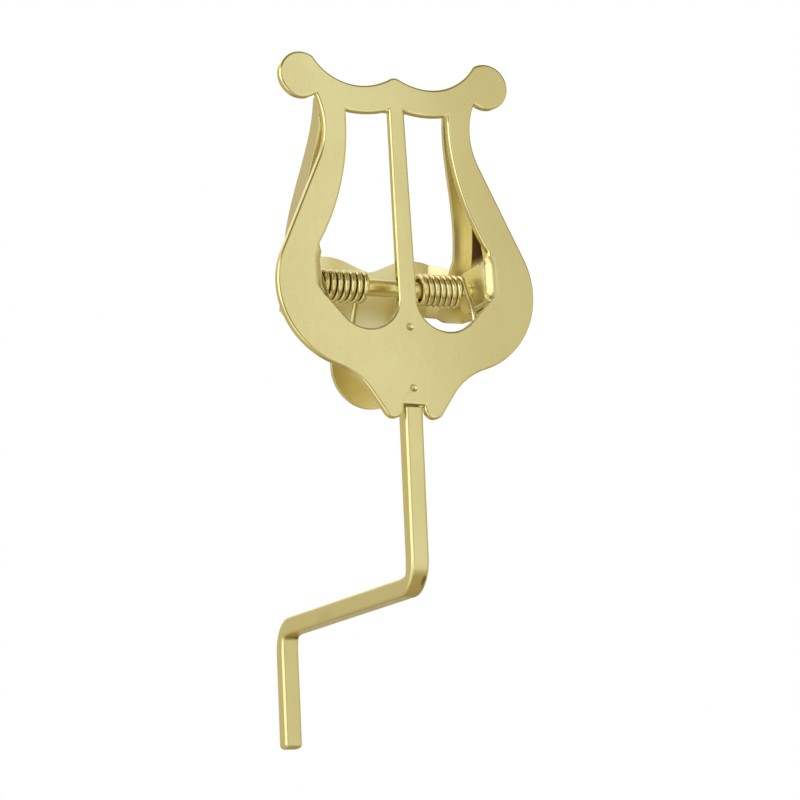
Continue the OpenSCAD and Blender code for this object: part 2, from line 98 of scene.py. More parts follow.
class Nodes:
    """Short calls for building a node tree."""

    def __init__(self, tree):
        self.tree = tree
        self.tree.nodes.clear()

    def add(self, kind, **settings):
        node = self.tree.nodes.new(kind)
        for key, value in settings.items():
            setattr(node, key, value)
        return node

    def link(self, a, b):
        self.tree.links.new(a, b)

    def feed(self, node, name, value):
        """Set an input to a number or colour, or link it to an output."""
        socket = node.inputs[name]
        if isinstance(value, bpy.types.NodeSocket):
            self.link(value, socket)
        else:
            socket.default_value = value

    def math(self, operation, a, b=0.0):
        node = self.add("ShaderNodeMath", operation=operation)
        self.feed(node, 0, a)
        self.feed(node, 1, b)
        return node.outputs[0]

    def times(self, first, *rest):
        """The product of all values."""
        return self.math("MULTIPLY", first, self.times(*rest)) if rest else first

    def squares(self, a, b):
        """The sum of two squares."""
        return self.math("ADD", self.times(a, a), self.times(b, b))

    def scaled(self, value, from_low, from_high, to_low, to_high, smooth=False):
        node = self.add("ShaderNodeMapRange")
        if smooth:
            node.interpolation_type = "SMOOTHSTEP"
        self.feed(node, 0, value)
        for i, number in enumerate((from_low, from_high, to_low, to_high)):
            node.inputs[i + 1].default_value = number
        return node.outputs[0]

    def span(self, length, off, on, most=1.0, smooth=False, least=0.0):
        """From least where a length is off to most where it is on, both in mm."""
        return self.scaled(length, off * MM, on * MM, least, most, smooth)

    def blend(self, factor, a, b):
        node = self.add("ShaderNodeMix", data_type="RGBA", blend_type="MIX")
        self.feed(node, 0, factor)
        self.feed(node, 6, a)
        self.feed(node, 7, b)
        return node.outputs[2]

    def place(self, scale=(1, 1, 1)):
        """Object coordinates in metres, scaled along each axis."""
        coords = self.add("ShaderNodeTexCoord")
        mapping = self.add("ShaderNodeMapping")
        mapping.inputs["Scale"].default_value = scale
        self.link(coords.outputs["Object"], mapping.inputs["Vector"])
        return mapping.outputs[0]

    def noise(self, vector, scale, detail=3.0, roughness=0.5):
        node = self.add("ShaderNodeTexNoise")
        self.feed(node, "Vector", vector)
        self.feed(node, "Scale", scale)
        self.feed(node, "Detail", detail)
        self.feed(node, "Roughness", roughness)
        return node.outputs["Fac"]

    def wander(self, scale, detail, reach):
        """A soft random length between -reach and reach, in mm."""
        return self.scaled(self.noise(self.place(), scale, detail), 0.3, 0.7,
                           -reach * MM, reach * MM)

    def edge(self, radius):
        """0 on open faces, rising to 1 on edges sharper than radius."""
        bevel = self.add("ShaderNodeBevel", samples=6)
        bevel.inputs["Radius"].default_value = radius
        geometry = self.add("ShaderNodeNewGeometry")
        dot = self.add("ShaderNodeVectorMath", operation="DOT_PRODUCT")
        self.link(bevel.outputs[0], dot.inputs[0])
        self.link(geometry.outputs["Normal"], dot.inputs[1])
        return self.scaled(dot.outputs["Value"], OPEN_DOT, EDGE_DOT, 0.0, 1.0)

    def facing_and_place(self):
        """The surface's direction and place, each as x, y and z."""
        parts = []
        for vector in (self.add("ShaderNodeNewGeometry").outputs["Normal"], self.place()):
            split = self.add("ShaderNodeSeparateXYZ")
            self.link(vector, split.inputs[0])
            parts += split.outputs
        return parts


def shade(colour, factor):
    return tuple(min(1.0, c * factor) for c in colour[:3]) + (1.0,)


# Lengths below are in mm of the frame, and a pair of them is (off, on). ACROSS is x times
# the facing's x, below zero only on sides that look towards the middle plane.
# The parts of a facing, from -1 to 1, are (off, on) as well.
FRONT_FACE = (-0.7, -0.9)
LEFT_FACE = (-0.8, -0.95)

# painted shade inside the jaw's flanges, low down, where they lie between the plate and the arm
FLANGE_SHADE_ACROSS = (-14, -19)
FLANGE_SHADE_LEAN = 0.31
FLANGE_SHADE_FRONT = (-36.0, -36.6)
FLANGE_SHADE_TOP = (127, 123)
FLANGE_SHADE_LOW = (112, 116)
FLANGE_SHADE_MOST = 0.98


def flange_painted_shade(n):
    """Painted shade: 1 low on the inner sides of the jaw's two flanges, where they lie in shade
    between the plate and the arm.
    """
    facing_x, _, _, x, y, z = n.facing_and_place()
    inward = n.span(n.times(x, facing_x), *FLANGE_SHADE_ACROSS)
    leaning = n.math("ADD", y, n.times(z, FLANGE_SHADE_LEAN))
    forward = n.span(leaning, *FLANGE_SHADE_FRONT, smooth=True)
    upper = n.span(z, *FLANGE_SHADE_TOP, FLANGE_SHADE_MOST, smooth=True)
    lower = n.span(z, *FLANGE_SHADE_LOW, smooth=True)
    return n.times(inward, forward, upper, lower)


# the dark oval on the front of the upper bend
PINCH_X, PINCH_Z = 1.25, 32.0
PINCH_HALF_X, PINCH_HALF_Z = 0.42, 1.5
PINCH_EDGE = (1.1, 0.6)
PINCH_FRONT = (-82, -83)
PINCH_MOST = 0.62
# painted shade: the dark line across the inside of the lower bend, under the bar
CREASE_Y, CREASE_Z = -2.75, 29.0
CREASE_AWAY = (0.75, 0.15)
CREASE_ACROSS = (-2.4, 1.6)
CREASE_WANDER = 0.6
CREASE_LEAST, CREASE_MOST = 0.1, 0.75
# the row of fine lines on the bar's left face
BITE_PITCH = 1.05
BITE_WAVE = (0.1, 0.9)
BITE_REAR = (-26, -27)
BITE_FRONT = (-37, -33)
BITE_TOP = (32.6, 30.5)
BITE_LEAST, BITE_MOST = 0.15, 0.22
# noise that makes the marks wander: its scale, its detail and how far
MARK_NOISE = (900.0, 2.0, 0.25)


def bending_marks_and_crease_shade(n):
    """The pinch on the upper bend, painted shade in the crease of the lower bend and the bites of
    a vice.
    """
    facing_x, _, _, x, y, z = n.facing_and_place()
    wander = n.wander(*MARK_NOISE)

    off_x = n.math("ADD", n.math("SUBTRACT", x, PINCH_X * MM), wander)
    off_x = n.math("DIVIDE", off_x, PINCH_HALF_X * MM)
    off_z = n.math("DIVIDE", n.math("SUBTRACT", z, PINCH_Z * MM), PINCH_HALF_Z * MM)
    oval = n.scaled(n.squares(off_x, off_z), *PINCH_EDGE, 0.0, PINCH_MOST, smooth=True)
    pinch = n.times(oval, n.span(y, *PINCH_FRONT))

    # painted shade along the crease of the lower bend
    off_y = n.math("ADD", n.math("SUBTRACT", y, CREASE_Y * MM), n.times(wander, CREASE_WANDER))
    off_z = n.math("SUBTRACT", z, CREASE_Z * MM)
    away = n.math("SQRT", n.squares(off_y, off_z))
    crease = n.times(n.span(away, *CREASE_AWAY, CREASE_MOST, smooth=True),
                     n.span(x, *CREASE_ACROSS, least=CREASE_LEAST))

    wave = n.math("SINE", n.times(y, math.tau / (BITE_PITCH * MM)))
    lines = n.scaled(wave, *BITE_WAVE, 0.0, 1.0)
    along = n.times(n.span(y, *BITE_FRONT), n.span(y, *BITE_REAR))
    up = n.span(z, *BITE_TOP, least=BITE_LEAST)
    left_face = n.scaled(facing_x, *LEFT_FACE, 0.0, BITE_MOST)
    bites = n.times(lines, along, up, left_face)
    return n.math("MAXIMUM", n.math("MAXIMUM", pinch, crease), bites)


# painted light and more roughness on the jaw's front faces above the tab, which lie in the plate's
# shade, and on the tab's corner, a painted reflection
DULL_JAW_Z = (96, 99)
# the tab's lighter corner lies to the right of and below a slanted line from this height
CORNER_Z = 84
CORNER_SLOPE = (0.6, 0.8)
CORNER_NOISE = (180.0, 3.0, 2.2)
CORNER_SPAN = (-2.5, 4.5)
CORNER_MOST = 0.9


def jaw_dull_and_painted_light(n):
    """Painted light and roughness: 1 on the jaw's front faces above the tab and on the tab's lower
    right corner.
    """
    _, facing_y, _, x, _, z = n.facing_and_place()
    across = n.times(x, CORNER_SLOPE[0])
    up = n.times(n.math("SUBTRACT", z, CORNER_Z * MM), CORNER_SLOPE[1])
    slant = n.math("ADD", n.math("SUBTRACT", across, up), n.wander(*CORNER_NOISE))
    corner = n.span(slant, *CORNER_SPAN, CORNER_MOST, smooth=True)
    where = n.math("MAXIMUM", n.span(z, *DULL_JAW_Z), corner)
    return n.times(n.scaled(facing_y, *FRONT_FACE, 0.0, 1.0), where)


# painted light and more roughness on the inner sides of the plate's ears
DULL_EAR_ACROSS = (-18, -21)
DULL_EAR_BEHIND = (-84, -82.5)


def ears_dull_and_painted_light(n):
    """Painted light and roughness: 1 on the inner sides of the plate's ears."""
    facing_x, _, _, x, y, _ = n.facing_and_place()
    return n.times(n.span(n.times(x, facing_x), *DULL_EAR_ACROSS), n.span(y, *DULL_EAR_BEHIND))


# noise in the brass: scale, detail and roughness
PATCH_NOISE = (55.0, 4.0, 0.55)
GRAIN_NOISE = (900.0, 3.0, 0.6)
SPECK_NOISE = (2600.0, 2.0, 0.5)
RIM_NOISE = (300.0,)
# how dark pits and how light rims are against their tone; rims are lighter as worn brass and as a
# painted highlight
PIT_SHADE, RIM_WEAR_AND_HIGHLIGHT_SHADE = 0.45, 1.25
# how much of each colour shows at most
GRAIN_MOST, PIT_MOST, PAINTED_LIGHT_MOST = 0.10, 0.35, 0.8
# what each adds to the roughness, and what a rubbed rim takes off it
PATCH_ROUGH, GRAIN_ROUGH, DULL_ROUGH = 0.015, (-0.015, 0.02), 0.12
RIM_POLISH = 0.10
# how far from an edge it is rubbed and carries a painted highlight, and how much
EDGE_REACH = 0.35 * MM
EDGE_WEAR_AND_HIGHLIGHT = 0.35
# how far around a place decides whether it is a recess that gets painted shade, and the openness
# of the deepest ones
RECESS_REACH = 5.0 * MM
RECESS_DEEPEST = 0.12
GRAIN_DEPTH = 0.05
GRAIN_HEIGHT = 0.02 * MM
GRAIN_SHARE, SPECK_SHARE = 0.7, 0.3
COAT, COAT_ROUGH = 0.10, 0.18


def brass(name, light, dark, rough=0.30, grain=(1, 1, 1), recess=0.3, recess_from=0.5,
          metal=0.95, polish=0.16, marks_and_shade=None, dull_and_painted_light=None):
    """Lacquered brass: soft patches between two tones, a fine grain, pits, and rubbed edges that
    also carry a painted highlight.

    grain scales the fine grain along each axis. Places less open than recess_from darken by
    up to recess, a painted shade. polish is taken off the roughness of rolled edges. The last
    two arguments make the masks of dark marks and painted shade, and of rougher faces that
    are also painted lighter.
    """
    material = bpy.data.materials.new(name)
    material.use_nodes = True
    n = Nodes(material.node_tree)
    place = n.place()
    patches = n.scaled(n.noise(place, *PATCH_NOISE), 0.32, 0.68, 0.0, 1.0, smooth=True)
    fine = n.noise(n.place(grain), *GRAIN_NOISE)
    speck = n.noise(place, *SPECK_NOISE)
    colour = n.blend(patches, dark, light)
    colour = n.blend(n.scaled(fine, 0.35, 0.65, 0.0, GRAIN_MOST), colour, dark)
    pits = n.scaled(speck, 0.66, 0.74, 0.0, PIT_MOST)
    colour = n.blend(pits, colour, shade(dark, PIT_SHADE))
    # rubbed edges, lighter partly from wear and partly as a painted highlight; they are also
    # smoother
    rim_wear_and_highlight = n.times(n.edge(EDGE_REACH), EDGE_WEAR_AND_HIGHLIGHT)
    rim_wear_and_highlight = n.times(rim_wear_and_highlight, n.scaled(n.noise(place, *RIM_NOISE), 0.3, 0.6, 0.5, 1.0))
    colour = n.blend(rim_wear_and_highlight, colour, shade(light, RIM_WEAR_AND_HIGHLIGHT_SHADE))

    # painted shade: closed-in places such as coil gaps and inner corners are darkened towards the
    # dark colour
    hollow = n.add("ShaderNodeAmbientOcclusion", samples=6)
    hollow.inputs["Distance"].default_value = RECESS_REACH
    openness = hollow.outputs["AO"]
    recess_shade = n.scaled(openness, recess_from, RECESS_DEEPEST, 0.0, recess, smooth=True)
    colour = n.blend(recess_shade, colour, DARK_MARK_AND_SHADE)

    roughness = n.scaled(patches, 0.0, 1.0, rough + PATCH_ROUGH, rough - PATCH_ROUGH)
    roughness = n.math("ADD", roughness, n.scaled(fine, 0.3, 0.7, *GRAIN_ROUGH))
    roughness = n.math("SUBTRACT", roughness, n.times(rim_wear_and_highlight, RIM_POLISH))
    # painted light: the mask lightens its faces towards the lighter brass, and it also makes them
    # rougher
    if dull_and_painted_light:
        dull_and_painted_light_mask = dull_and_painted_light(n)
        colour = n.blend(n.times(dull_and_painted_light_mask, PAINTED_LIGHT_MOST), colour, PAINTED_LIGHT_BRASS)
        roughness = n.math("ADD", roughness, n.times(dull_and_painted_light_mask, DULL_ROUGH))
    rounding = n.add("ShaderNodeAttribute", attribute_name="rounding").outputs["Fac"]
    roughness = n.math("SUBTRACT", roughness, n.times(rounding, polish))
    edge_tint = WHITE
    # the mask of dark marks and painted shade darkens the colour and the grazing reflection
    if marks_and_shade:
        mark_and_shade_mask = marks_and_shade(n)
        colour = n.blend(mark_and_shade_mask, colour, DARK_MARK_AND_SHADE)
        edge_tint = n.blend(mark_and_shade_mask, WHITE, DARK_MARK_AND_SHADE_EDGE)

    bump = n.add("ShaderNodeBump")
    bump.inputs["Strength"].default_value = GRAIN_DEPTH
    bump.inputs["Distance"].default_value = GRAIN_HEIGHT
    n.feed(bump, "Height", n.math("ADD", n.times(fine, GRAIN_SHARE), n.times(speck, SPECK_SHARE)))

    shader = n.add("ShaderNodeBsdfPrincipled")
    shader.inputs["Metallic"].default_value = metal
    shader.inputs["Coat Weight"].default_value = COAT
    shader.inputs["Coat Roughness"].default_value = COAT_ROUGH
    n.feed(shader, "Base Color", colour)
    n.feed(shader, "Specular Tint", edge_tint)
    n.feed(shader, "Roughness", roughness)
    n.feed(shader, "Normal", bump.outputs[0])
    n.link(shader.outputs[0], n.add("ShaderNodeOutputMaterial").inputs[0])
    return material


PAPER_ROUGH = 0.9
PAPER_NOISE = 4.0
PAPER_SHADE = 0.98


def matte(name, colour):
    """Plain studio paper."""
    material = bpy.data.materials.new(name)
    material.use_nodes = True
    n = Nodes(material.node_tree)
    shader = n.add("ShaderNodeBsdfPrincipled")
    shader.inputs["Roughness"].default_value = PAPER_ROUGH
    tint = n.scaled(n.noise(n.place(), PAPER_NOISE), 0.3, 0.7, 0.0, 1.0)
    n.feed(shader, "Base Color", n.blend(tint, colour, shade(colour, PAPER_SHADE)))
    n.link(shader.outputs[0], n.add("ShaderNodeOutputMaterial").inputs[0])
    return material


def dress(piece, material):
    piece.data.materials.clear()
    piece.data.materials.append(material)


# ==== mesh helpers

BEVEL_SEGMENTS = 3
# edges turned by more are rounded, and edges turned by less are dissolved
SHARP_A = math.radians(35)
FLAT_A = math.radians(0.5)
NORMAL_WEIGHT = 90


def round_edges(piece, width, merge):
    """Weld the imported faces, make flat faces whole and round every sharp edge, in mm."""
    weld = piece.modifiers.new("weld", "WELD")
    weld.merge_threshold = merge * MM
    flat = piece.modifiers.new("flat", "DECIMATE")
    flat.decimate_type = "DISSOLVE"
    flat.angle_limit = FLAT_A
    bevel = piece.modifiers.new("bevel", "BEVEL")
    bevel.width = width * MM
    bevel.segments = BEVEL_SEGMENTS
    bevel.limit_method = "ANGLE"
    bevel.angle_limit = SHARP_A
    bevel.harden_normals = True
    bevel.use_clamp_overlap = True
    for face in piece.data.polygons:
        face.use_smooth = True
    normals = piece.modifiers.new("normals", "WEIGHTED_NORMAL")
    normals.keep_sharp = True


def new_mesh(name, points, faces):
    data = bpy.data.meshes.new(name)
    data.from_pydata([tuple(p) for p in points], [], faces)
    data.update()
    for face in data.polygons:
        face.use_smooth = True
    piece = bpy.data.objects.new(name, data)
    bpy.context.scene.collection.objects.link(piece)
    return piece


def mark_rounding(piece, values):
    """Mark the rolled edges, 0 to 1 for each point, and shade the flat faces flat."""
    layer = piece.data.attributes.new("rounding", "FLOAT", "POINT")
    layer.data.foreach_set("value", values)
    normals = piece.modifiers.new("normals", "WEIGHTED_NORMAL")
    normals.weight = NORMAL_WEIGHT


def band(low, high, count):
    """The faces between two rings of count points that start at low and high."""
    faces = []
    for k in range(count):
        b = (k + 1) % count
        faces.append((low + k, low + b, high + b, high + k))
    return faces


def skin(rings, count):
    """The faces of a closed bar of rings, each of count points, with both its ends."""
    faces = [tuple(reversed(range(count)))]
    for i in range(rings - 1):
        faces += band(i * count, (i + 1) * count, count)
    faces.append(tuple((rings - 1) * count + k for k in range(count)))
    return faces


WIRE_SIDES = 20
DOME_RISE, DOME_SHRINK = 0.25, 0.7


def tube(name, path, radius):
    """A closed round wire along a path, its ends slightly domed. Points in metres."""
    side = Vector((1, 0, 0))
    rings = []
    for i, centre in enumerate(path):
        run = (path[min(i + 1, len(path) - 1)] - path[max(i - 1, 0)]).normalized()
        across = (side - side.dot(run) * run).normalized()
        rings.append((centre, run, across, run.cross(across), radius))
    first, last = rings[0], rings[-1]
    dome = radius * DOME_RISE
    rings.insert(0, (first[0] - first[1] * dome, *first[1:4], radius * DOME_SHRINK))
    rings.append((last[0] + last[1] * dome, *last[1:4], radius * DOME_SHRINK))
    points = []
    for centre, _, across, up, r in rings:
        for k in range(WIRE_SIDES):
            a = math.tau * k / WIRE_SIDES
            points.append(centre + r * (math.cos(a) * across + math.sin(a) * up))
    return new_mesh(name, points, skin(len(rings), WIRE_SIDES))


def arc(centre, radius, start, end, count):
    """Points of an arc in count steps, angles in degrees."""
    angles = [math.radians(start + (end - start) * i / count) for i in range(count + 1)]
    return [Vector((centre[0] + radius * math.cos(a), centre[1] + radius * math.sin(a)))
            for a in angles]


def rounding_steps(count, reach, deep):
    """A quarter turn in count steps: (way in from the side, way in from the end)."""
    turns = [RIGHT_ANGLE * k / count for k in range(count + 1)]
    return [(reach * (1 - math.sin(a)), deep * (1 - math.cos(a))) for a in turns]


def head_point(x, y, z):
    """A point given from the hinge axis in the leaning head's own directions, in metres."""
    turned = Matrix.Rotation(-HEAD_LEAN, 3, "X") @ Vector((x, y, z))
    return (HINGE_AT + turned) * MM


# ==== front plate, in mm of the leaning head

PLATE_T = 2.0
# the punch draws the front edge down: how far in and how deep; the rear edge is nearly square
ROLL_IN, ROLL_DEEP, ROLL_STEPS = 0.7, 0.45, 7
REAR_ROUND, REAR_STEPS = 0.35, 4
PEAK_Z, PEAK_R = 69.35, 2.6
VALLEY = (9.5, 66.85)
VALLEY_OUT_R = 14.5
SCROLL, SCROLL_R = (25.0, 68.7), 5.9
NECK, NECK_R = (19.8, 56.0), 20.0
BODY, BODY_R = (13.5, 15.6), 20.9
# where the body's arc meets the waist's
WAIST_A = -72
WAIST_R = 17.0
LOBE, LOBE_R = (5.4, -14.7), 2.65
NOTCH_Z = -13.9
MULLION_X = 2.05
OPEN_TOP, OPEN_TOP_R = (9.0, 59.85), 26.0
OPEN_SIDE, OPEN_SIDE_R = (13.7, 58.0), 62.0
BOWL, BOWL_R = (10.7, 13.25), 8.35
EAR_X = 21.7
EAR_TOP, EAR_LOW = 24.0, 13.2
EAR_REAR_Y = 16.8
EAR_CORNER_R = 3.2
# the fillet above the ear, and how far up the sheet is still folded with it
EAR_ROOT_R = 1.2
EAR_ROOT_REACH = EAR_ROOT_R * 1.5
PIN_HOLE_R, PIN_HOLE_ROUND = 2.15, 0.15
RIVET_Z = (5.6, -9.8)
RIVET_HOLE_R, RIVET_HOLE_ROUND = 0.93, 0.08
# the fold's outer radius, and how much tighter it gets past these heights
FOLD_R = 3.0
FOLD_UPPER_Z, FOLD_UPPER_LESS = 22.0, 1.34
FOLD_LOWER_Z, FOLD_LOWER_LESS = 15.6, 2.4
# the flat blank: where the ear's fold starts, and where the ear ends
FOLD_X = EAR_X + FOLD_R
BLANK_END_X = FOLD_X - RIGHT_ANGLE * (FOLD_R - PLATE_T / 2) - (EAR_REAR_Y - FOLD_R)
# along the ear's edges the fold's points stand closer, up to this place of the blank
FOLD_END_X = FOLD_X - 4.5
FOLD_POINTS = 9
# the sheet beside the fold moves too: how far below and above the ear, and where that fades out
NEAR_BELOW, NEAR_ABOVE, NEAR_ROOT = 2, 3, 1
FADE_ACROSS, FADE_UP = 3, 2
# the fold's inner and middle radius never get smaller
LEAST_INNER_R, LEAST_MIDDLE_R = 0.1, 0.4
# a grid of points that lets the sheet bend: columns and rows, and their steps
GRID_COUNT = (22, 13)
GRID_STEP = (0.28, 0.76)
GRID_START = (FOLD_X + 0.6, EAR_LOW + 0.9)
GRID_CLEAR = ROLL_IN + 0.25
# the rolled edge is narrower near the ears, from this far below them to this far above
EAR_INSET = 0.4
EAR_INSET_BELOW, EAR_INSET_ABOVE = 0.8, 1.0
LEAST_STRETCH = 0.6
# a loop's points lie further apart than this
LEAST_GAP = 0.03
# room for rounding errors, here and in the bar's bends
TINY = 1e-6


def half_outline():
    """Right half of the plate's outline, from the foot up to the peak.

    Each arc goes from one angle to the other, in degrees, and has a number of steps.
    """
    waist_a = math.radians(WAIST_A)
    waist = (BODY[0] + (BODY_R + WAIST_R) * math.cos(waist_a),
             BODY[1] + (BODY_R + WAIST_R) * math.sin(waist_a))
    peak = (0, PEAK_Z - PEAK_R)
    drop = VALLEY[1] - peak[1]
    inner_r = (VALLEY[0] ** 2 + drop ** 2 - PEAK_R ** 2) / (2 * (PEAK_R - drop))
    inner = (VALLEY[0], VALLEY[1] + inner_r)
    join = math.degrees(math.atan2(inner[1] - peak[1], VALLEY[0]))
    points = [Vector((LOBE[0] - LOBE_R, NOTCH_Z))]
    points += arc(LOBE, LOBE_R, -180, -35, 20)
    points += arc(waist, WAIST_R, 145, 180 + WAIST_A, 12)
    points += arc(BODY, BODY_R, WAIST_A, 28, 36)[1:]
    points += arc((NECK[0] + NECK_R, NECK[1]), NECK_R, 206.6, 158, 16)
    points += arc(SCROLL, SCROLL_R, -128, 122.8, 44)
    points += arc((VALLEY[0], VALLEY[1] + VALLEY_OUT_R), VALLEY_OUT_R, -36, -90, 12)
    points += arc(inner, inner_r, -90, join - 180, 10)[1:]
    points += arc(peak, PEAK_R, join, 90, 5)[1:-1]
    return points


def opening():
    """Right opening of the flat blank, clockwise, with the unfolded ear reaching into it."""
    in_a = -90 - math.degrees(math.asin((OPEN_TOP[0] - MULLION_X) / OPEN_TOP_R))
    out_a = -90 + math.degrees(math.asin((OPEN_SIDE[0] - OPEN_TOP[0]) / OPEN_TOP_R))
    side = (OPEN_SIDE[0] + OPEN_SIDE_R, OPEN_SIDE[1])
    root_z = EAR_TOP + EAR_ROOT_R
    root_a = math.degrees(math.asin((side[1] - root_z) / (OPEN_SIDE_R + EAR_ROOT_R)))
    root_x = side[0] - (OPEN_SIDE_R + EAR_ROOT_R) * math.cos(math.radians(root_a))
    notch_x = EAR_X + bend_radius(EAR_LOW)
    flat_x = BLANK_END_X + EAR_CORNER_R
    points = arc((OPEN_TOP[0], OPEN_TOP[1] + OPEN_TOP_R), OPEN_TOP_R, in_a, out_a, 10)
    points += arc(side, OPEN_SIDE_R, 180, 180 + root_a, 20)
    points += arc((root_x, root_z), EAR_ROOT_R, root_a, -90, 6)[1:]
    points += straight(root_x, FOLD_END_X, EAR_TOP)[1:]
    points += arc((flat_x, EAR_TOP - EAR_CORNER_R), EAR_CORNER_R, 90, 180, 8)
    points += arc((flat_x, EAR_LOW + EAR_CORNER_R), EAR_CORNER_R, 180, 270, 8)
    points += straight(FOLD_END_X, notch_x, EAR_LOW)
    points += arc(BOWL, BOWL_R, -50, -175, 32)
    return points


def straight(x0, x1, z):
    """Points along an edge of the ear, from x0 to x1."""
    return [Vector((x0 + (x1 - x0) * i / FOLD_POINTS, z)) for i in range(FOLD_POINTS + 1)]


def ease(t):
    t = max(0.0, min(1.0, t))
    return t * t * (3 - 2 * t)


def bend_radius(z):
    """Outer radius of the ear's fold, tighter towards the ear's upper and lower end."""
    upper = ease((z - FOLD_UPPER_Z) / (EAR_TOP + EAR_ROOT_R - FOLD_UPPER_Z))
    lower = ease((FOLD_LOWER_Z - z) / (FOLD_LOWER_Z - EAR_LOW))
    return FOLD_R - FOLD_UPPER_LESS * upper - FOLD_LOWER_LESS * lower


def beside_fold(across, z, start, inner):
    """How far the rear face of the flat sheet is drawn over beside the fold."""
    if across < start:
        return 0.0
    fade = max(0.0, 1 - abs(across - start) / FADE_ACROSS)
    past = EAR_LOW - z if z < EAR_LOW else z - EAR_TOP - NEAR_ROOT
    fade *= 1 - ease(past / FADE_UP)
    return (EAR_X + PLATE_T + inner - start) * fade


def formed(x, z, depth):
    """A point of the blank, given depth below its front face, after the ears are folded back."""
    across = abs(x)
    near = EAR_LOW - NEAR_BELOW <= z <= EAR_TOP + NEAR_ABOVE
    if across < BLANK_END_X - 1 or not near:
        return x, depth, z
    side = math.copysign(1, x)
    radius = bend_radius(z)
    start = EAR_X + radius
    inner = max(radius - PLATE_T, LEAST_INNER_R)
    inside = EAR_LOW - TINY <= z <= EAR_TOP + EAR_ROOT_REACH
    if across >= start or not inside:
        shift = beside_fold(across, z, start, inner)
        return side * (across + shift * depth / PLATE_T), depth, z
    run = start - across
    length = RIGHT_ANGLE * max(radius - PLATE_T / 2, LEAST_MIDDLE_R)
    if run < length:
        a = RIGHT_ANGLE * run / length
        front = (start - radius * math.sin(a), radius * (1 - math.cos(a)))
        rear = (EAR_X + PLATE_T + inner * (1 - math.sin(a)), PLATE_T + inner * (1 - math.cos(a)))
    else:
        t = (run - length) / (start - BLANK_END_X - length)
        front = (EAR_X, radius + t * (EAR_REAR_Y - radius))
        rear = (EAR_X + PLATE_T, PLATE_T + inner + t * (EAR_REAR_Y - PLATE_T - inner))
    k = depth / PLATE_T
    return side * (front[0] + (rear[0] - front[0]) * k), front[1] + (rear[1] - front[1]) * k, z


def inset(loop, amount):
    """The loop moved to its left, into the metal, by less around an ear."""
    moved = []
    count = len(loop)
    for i, point in enumerate(loop):
        before = (point - loop[i - 1]).normalized()
        after = (loop[(i + 1) % count] - point).normalized()
        left = Vector((-before.y - after.y, before.x + after.x)).normalized()
        stretch = max(LEAST_STRETCH, left.dot(Vector((-after.y, after.x))))
        beside = EAR_LOW - EAR_INSET_BELOW < point.y < EAR_TOP + EAR_INSET_ABOVE
        ear = beside and abs(point.x) < FOLD_X
        moved.append(point + left * min(amount, EAR_INSET if ear else amount) / stretch)
    return moved


def clean(loop):
    """The loop without points that lie on the point before them."""
    kept = []
    for point in loop:
        if not kept or (point - kept[-1]).length > LEAST_GAP:
            kept.append(point)
    if (kept[0] - kept[-1]).length <= LEAST_GAP:
        kept.pop()
    return kept


def holds(loop, point):
    """Whether a point lies inside a closed loop."""
    odd = False
    for i, a in enumerate(loop):
        b = loop[i - 1]
        if (a.y > point.y) != (b.y > point.y):
            if point.x < (b.x - a.x) * (point.y - a.y) / (b.y - a.y) + a.x:
                odd = not odd
    return odd


def flipped(loop):
    return [Vector((-p.x, p.y)) for p in reversed(loop)]


def plate_loops(right):
    """The blank's loops, metal on their left, each with (way in, front depth, rear rounding)."""
    half = half_outline()
    hole_x = BLANK_END_X + EAR_REAR_Y - PIN_Y
    pin_hole = arc((hole_x, PIN_Z), PIN_HOLE_R, 360, 0, 48)[:-1]
    outer = clean(half + [Vector((0, PEAK_Z))] + flipped(half))
    drawn = (ROLL_IN, ROLL_DEEP, REAR_ROUND)
    loops = [(outer, drawn), (right, drawn), (flipped(right), drawn)]
    loops += [(hole, (PIN_HOLE_ROUND,) * 3) for hole in (pin_hole, flipped(pin_hole))]
    for z in RIVET_Z:
        rivet_hole = arc((0, z), RIVET_HOLE_R, 360, 0, 32)[:-1]
        loops.append((rivet_hole, (RIVET_HOLE_ROUND,) * 3))
    return loops


def edge_profile(reach_in, deep, rear):
    """The sheet's edge from its front face to its rear face: (way in, depth)."""
    profile = rounding_steps(ROLL_STEPS, reach_in, deep)
    profile += [(x, PLATE_T - y) for x, y in reversed(rounding_steps(REAR_STEPS, rear, rear))]
    if reach_in > rear:
        profile.append((reach_in, PLATE_T))
    return profile


def fold_grid(right):
    """Points of the blank's faces from the fold to the ear's end, on both sides."""
    for side in (1, -1):
        for row in range(GRID_COUNT[1]):
            for column in range(GRID_COUNT[0]):
                point = Vector((GRID_START[0] - GRID_STEP[0] * column,
                                GRID_START[1] + GRID_STEP[1] * row))
                near = min((point - p).length for p in right)
                if near > GRID_CLEAR and not holds(right, point):
                    yield Vector((side * point.x, point.y))


